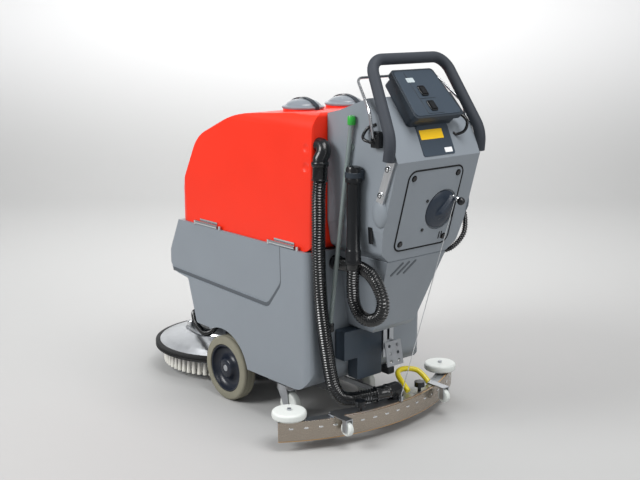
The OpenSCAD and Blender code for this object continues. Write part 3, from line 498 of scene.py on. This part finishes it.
# %% Lids
for side, name in ((1, "left_lid"), (-1, "right_lid")):
    dome = [[0, 0], [59, 0], [60, 1.5], [60, 5], [58, 7], [52, 8], [49, 11]]
    k = np.linspace(0.28, math.pi / 2, 14)
    dome += [[51 * math.cos(a), 4 + 23 * math.sin(a)] for a in k]
    at = [-215, side * 80, 899.3]
    piece(name + "_dome", lathe(dome, 72) + at, name, F["lid_plastic"], stands_for=[name])
    grip = [prism(round_box(16, 70, 6), 27.2, 32, 1.5) + at]
    strap = np.array([[-61, -6], [-61, 6], [-50, 14], [-30, 24], [0, 29], [30, 24], [50, 14],
                      [61, 6], [61, -6]], float)
    path = np.stack([strap[:, 0], strap[:, 0] * 0, strap[:, 1]], 1) + at
    fine, _ = spline(path, 0.4)
    band = np.stack([fine + [0, w, h] for w, h in ((-7, 0), (7, 0), (7, 2), (-7, 2))], 1)
    piece(name + "_strap", band, name, F["dark_moulding"])
print("lids done")

# %% Tyres
groove = lambda y: 1.4 * np.exp(-((np.abs(y) - 8) / 1.5) ** 2)
yy = np.linspace(-22, 22, 60)
shoulder = 9 * (1 - np.sqrt(np.clip(1 - np.clip((np.abs(yy) - 13) / 9, 0, 1) ** 2, 0, 1)))
tread = np.column_stack([100 - shoulder - groove(yy), yy])
profile = np.vstack([[[74, -20]], [[75, -22]], tread, [[75, 22]], [[74, 20]]])
for side, name in ((1, "left"), (-1, "right")):
    ring = lathe(profile, 120)
    wheel = np.stack([ring[..., 0], side * 193 + ring[..., 2], 100 + ring[..., 1]], 2)
    wheel = np.concatenate([wheel, wheel[:1]])
    piece(name + "_tread", wheel, name + "_wheel", F["grey_tyre"],
          stands_for=[name + "_tyre"], capped=False)
    ring = lathe([[30, -14], [73.5, -14], [73.5, 19], [71, 20.5], [68, 19], [66, 12],
                  [60, 3], [50, -1], [40, 1], [31, 8], [29, 17], [26, 20], [12, 21],
                  [11, 14], [30, 10], [30, -14]], 96)
    disc = np.stack([ring[..., 0], side * (193 + ring[..., 2]), 100 + side * ring[..., 1]], 2)
    piece(name + "_dish", disc, name + "_wheel", F["hub_plastic"],
          stands_for=[name + "_hub"], capped=False)
    cap = lathe([[0, 8], [10.4, 8], [10.4, 17], [9, 19], [5, 20], [4.5, 18.5], [0, 18.5]], 36)
    end = np.stack([cap[..., 0], side * (193 + cap[..., 2]), 100 + side * cap[..., 1]], 2)
    piece(name + "_axle_end", end, name + "_wheel", EXTRA["brass"])
print("tyres done")

# %% Brush and deck fittings
tufts = []
for k in range(64):
    a = 2 * math.pi * k / 64
    lean = 3 * math.sin(7.3 * k)
    tuft = lathe([[0, 22], [7.4, 22], [7.0, 30], [5.6, 44], [4.4, 61], [0, 61]], 12)
    tufts.append(tuft + [285 + (204 + lean * 0.4) * math.cos(a), 204 * math.sin(a), 0])
    if k % 2:
        tufts.append(tuft + [285 + 180 * math.cos(a), 180 * math.sin(a), 0])
tufts.append(lathe([[0, 24], [168, 24], [172, 40], [172, 61], [0, 61]], 96) + [285, 0, 0])
piece("brush_tufts", tufts, "brush", F["bristle_nylon"], stands_for=["bristles"])
band = lathe([[222.4, 74], [227, 72], [236.6, 74], [236.9, 78], [233, 81], [236.9, 84],
              [236.6, 89], [231, 91.6], [222.4, 92.4], [222.4, 74]], 144) + [285, 0, 0]
piece("bumper_ring", band, "brush_deck", F["black_rubber"], stands_for=["deck_bumper"],
      capped=False)
stack = [lathe([[0, 118], [16, 118], [17, 120], [17, 128], [13, 131], [13, 143], [9, 146],
                [0, 146]], 24) + [x, y, 0] for x, y in ((395, 40), (360, 92))]
rib = lathe([[112, 126.5], [116, 131], [120, 131], [124, 125]], 120) + [285, 0, 0]
piece("deck_fittings", stack, "brush_deck", F["bright_steel"])
piece("deck_rib", rib, "brush_deck", F["deck_casting"], capped=False)
print("tufts:", len(tufts) - 1)

# %% Squeegee fittings
bolts = []
for a in np.radians(np.arange(-32, 33, 4.0)):
    head = prism(round_box(13, 5, 2.4), 0, 1.6, 0.4)
    out = np.array([-math.cos(a), math.sin(a), 0])
    side = np.array([math.sin(a), math.cos(a), 0])
    frame_at = axes([66, 0, 67] + 595.5 * out, side, (0, 0, 1), out)
    bolts.append(frame_at(head))
piece("band_bolts", bolts, "squeegee", F["bright_steel"])
HANDLE = [[-480, -176, 95.6], [-462, -174, 110], [-440, -166, 124], [-422, -140, 129],
          [-422, -112, 129], [-438, -92, 124], [-474, -78, 110], [-497, -74, 95.6]]
path, _ = spline(HANDLE, 0.5)
piece("dipped_handle", tube(path, 8, 24, (0.1, 0.1, 1)), "squeegee", F["yellow_coating"],
      stands_for=["squeegee_handle"])
print("squeegee done")

# %% [markdown]
# ## Controls and small parts

# %% Control panel
piece("display", prism(round_box(27, 15, 2), 0.6, 1.6, 0.4) + [-30, 42, 0], "chassis",
      EXTRA["window"], on_panel)
for n, (u, v) in enumerate(((-9, 5), (-9, -44))):
    outer, inner = round_box(25, 33, 5), round_box(18.4, 25.4, 1.5)
    ring = np.stack([np.column_stack([o, np.full(len(o), z)]) for o, z in
                     ((outer, 0.8), (outer, 3.2), (outer * 0.95, 4.2), (inner, 4.2), (inner, 0.8))])
    piece(f"switch_surround_{n}", ring + [u, v, 0], "chassis", F["black_plastic"], on_panel,
          capped=False)
strokes = []
for (u, v), top in (((-9, 5), 62), ((-9, -44), 22)):
    for a, b in (((u - 28, v + top), (u - 28, v - 24)), ((u - 28, v - 24), (u + 30, v - 24))):
        strokes.append(tube([[*a, 1.0], [*b, 1.0]], 0.7, 8, (0.1, 0.2, 1)))
piece("panel_lines", strokes, "chassis", EXTRA["line"], on_panel)
print("panel done")

# %% Stickers, grooves and screws
on_slope = axes((-650.4, 0, 836), (0, -1, 0), (0.418, 0, 0.908), (-0.908, 0, 0.418))
piece("label_plate", prism(round_box(118, 84, 6), 0, 1.6, 0.5) + [2, 8, 0], "chassis",
      F["slate_moulding"], on_slope)
piece("label_yellow", prism(round_box(84, 26, 1.5), 1.5, 2.2, 0.2) + [-8, 24, 0], "chassis",
      EXTRA["yellow_label"], on_slope)
piece("label_white", prism(round_box(28, 13, 1), 1.5, 2.2, 0.2) + [38, -22, 0], "chassis",
      EXTRA["white_label"], on_slope)
boss = []
for side in (1, -1):
    k = np.linspace(0, math.pi / 2, 12)
    dome = lathe(np.column_stack([np.cos(k), np.sin(k)]), 40)
    shell = dome * [27, 40, 13]
    boss.append(np.stack([-607 + shell[..., 0] + 0.2 * shell[..., 1] * 0,
                          side * (154 + shell[..., 2]), 664 + shell[..., 1]], 2))
piece("handle_bosses", boss, "chassis", F["grey_moulding"])
on_base = axes((-583.2, 0, 497), (0, -1, 0), (-0.369, 0, 0.93), (-0.93, 0, -0.369))
# Painted shade: three dark bars stand in for the shade inside the grooves of the column base.
bars = [axes((-66 + 24 * n, 0, 0), (math.cos(-0.75), math.sin(-0.75), 0),
             (-math.sin(-0.75), math.cos(-0.75), 0), (0, 0, 1))(
                 prism(round_box(7, 52, 3.4), -1, 0.5, 0.4).reshape(-1, 3)).reshape(4, -1, 3)
        for n in range(3)]
piece("column_groove_shade", bars, "chassis", EXTRA["shade"], on_base)
# Painted shade: a thin dark strip on each side stands in for the shaded slope of the field's step.
for side, name in ((1, "left"), (-1, "right")):
    route = np.vstack([[[-283, 0, 529]],
                       arc_corner([-283, 0, 529], [-286, 0, 424], [-226, 0, 350], 40),
                       arc_corner([-286, 0, 424], [-226, 0, 350], [272, 0, 368], 34),
                       [[258, 0, 367.5]]])
    strip = tube(route, 6.5, 12, (0, 1, 0.01)) * [1, 0.12, 1] + [0, side * 220.6, 0]
    piece(name + "_field_groove_shade", strip, "chassis", EXTRA["shade"])
loops = {"left_cable": [[-600, 158, 838], [-592, 176, 846], [-574, 182, 852], [-560, 172, 862],
                        [-566, 160, 880], [-590, 156, 890]],
         "right_cable": [[-630, -92, 905], [-650, -100, 900], [-664, -104, 884],
                         [-662, -98, 862], [-648, -84, 852], [-640, -76, 856]]}
for name, route in loops.items():
    way, _ = spline(route, 0.6)
    piece(name, tube(way, 4, 14, (0.3, 0.2, 0.9)), "chassis", F["black_plastic"])
# Painted shade: dark discs stand in for the shade inside the screw recesses.
moons = [lathe([[0, 1], [9, 1], [9, 1.3], [0, 1.3]], 32) + [x * 83, y * 93, 0]
         for x in (-1, 1) for y in (-1, 1)]
piece("screw_recesses", moons, "chassis", EXTRA["hole"], on_rear)
# Painted shade: the slots are dark strips standing in for the shade inside them.
slots = [prism(round_box(4, 22, 2), 1, 1.4, 0.1) + [64 + d, -88, 0] for d in (0, 9)]
piece("cover_slots", slots, "chassis", EXTRA["hole"], on_rear)
plates = [prism(round_box(15, 44, 2), 0, 3, 0.5)]
side_at = axes((-574, 154.5, 600), (1, 0, 0), (0.1, 0, 1), (0, 1, 0))
piece("side_plate", plates, "chassis", F["black_plastic"], side_at)
# Painted shade: a dark ring stands in for the shade in the gap round the cover.
edge_line = np.column_stack([round_box(204, 226, 24, 10), np.full(40, 0.0)])
edge_line = np.vstack([edge_line, edge_line[:2]])
piece("cover_seam_shade", tube(edge_line, 2.4, 10, (0, 0, 1)), "chassis", EXTRA["hole"], on_rear,
      capped=False)
print("details done")

# %% [markdown]
# ## Studio
# A pale floor rises into the backdrop behind the machine, under soft lights.

# %% Floor and lights
look = np.array([math.cos(math.radians(-41.05)), math.sin(math.radians(-41.05))])
across = np.array([-look[1], look[0]])
turn_k = np.linspace(0, math.pi / 2, 24)
run = np.concatenate([[-6.0], 3.2 + 1.6 * np.sin(turn_k), [4.8]])
rise = np.concatenate([[0.0], 1.6 * (1 - np.cos(turn_k)), [6.0]])
grid = np.stack([np.column_stack([np.outer(run, look) + w * across, rise])
                 for w in (-9, 9)], 1)
mesh = bpy.data.meshes.new("studio")
rows = len(run)
mesh.from_pydata(grid.reshape(-1, 3).tolist(), [],
                 [[2 * i, 2 * i + 1, 2 * i + 3, 2 * i + 2] for i in range(rows - 1)])
mesh.polygons.foreach_set("use_smooth", np.full(len(mesh.polygons), True))
studio = bpy.data.objects.new("studio", mesh)
bpy.context.scene.collection.objects.link(studio)
paper = finish("studio paper", "#d6d6d6", 0.9, vary=0.01, relief=0)
tree = paper.node_tree
height = add(tree, "SeparateXYZ", links={0: add(tree, "TexCoord").outputs["Object"]})
blend = add(tree, "MapRange", {1: 0.0, 2: 1.2, 3: 0.0, 4: 1.0}, {0: height.outputs["Z"]},
            interpolation_type="SMOOTHSTEP")
# Painted shade: the paper is darker on the floor and lighter up the backdrop, standing in for how
# the light falls off.
floor_shade_tone = add(tree, "Mix", {6: linear("#b2b2b1"), 7: linear("#e6e6e6")},
           {0: blend.outputs[0]}, data_type="RGBA")
tree.links.new(floor_shade_tone.outputs[2], tree.nodes["Principled BSDF"].inputs["Base Color"])
mesh.materials.append(paper)

world = bpy.data.worlds.new("studio")
bpy.context.scene.world = world
world.use_nodes = True
world.node_tree.nodes["Background"].inputs["Color"].default_value = linear("#f2f4f7")
world.node_tree.nodes["Background"].inputs["Strength"].default_value = 0.38


def softbox(name, at, target, size, power):
    """A square area light of that size in metres, turned to the target."""
    lamp = bpy.data.objects.new(name, bpy.data.lights.new(name, "AREA"))
    lamp.data.size = size
    lamp.data.energy = power
    lamp.location = at
    d = np.array(target, float) - np.array(at, float)
    flat = math.hypot(d[0], d[1])
    lamp.rotation_euler = (math.atan2(flat, -d[2]), 0, math.atan2(d[1], d[0]) - math.pi / 2)
    bpy.context.scene.collection.objects.link(lamp)


softbox("key", (0.6, 3.0, 2.6), (0, 0, 0.5), 1.6, 105)
softbox("top", (-1.5, 0.1, 3.3), (-0.4, 0, 0.7), 1.8, 72)
softbox("fill", (-3.4, -0.6, 1.8), (0, 0, 0.5), 1.6, 22)
softbox("backdrop", (1.2, -1.0, 3.2), (3.4, -3.0, 1.0), 2.5, 135)
bpy.context.scene.view_settings.view_transform = "Standard"
print("studio ready")
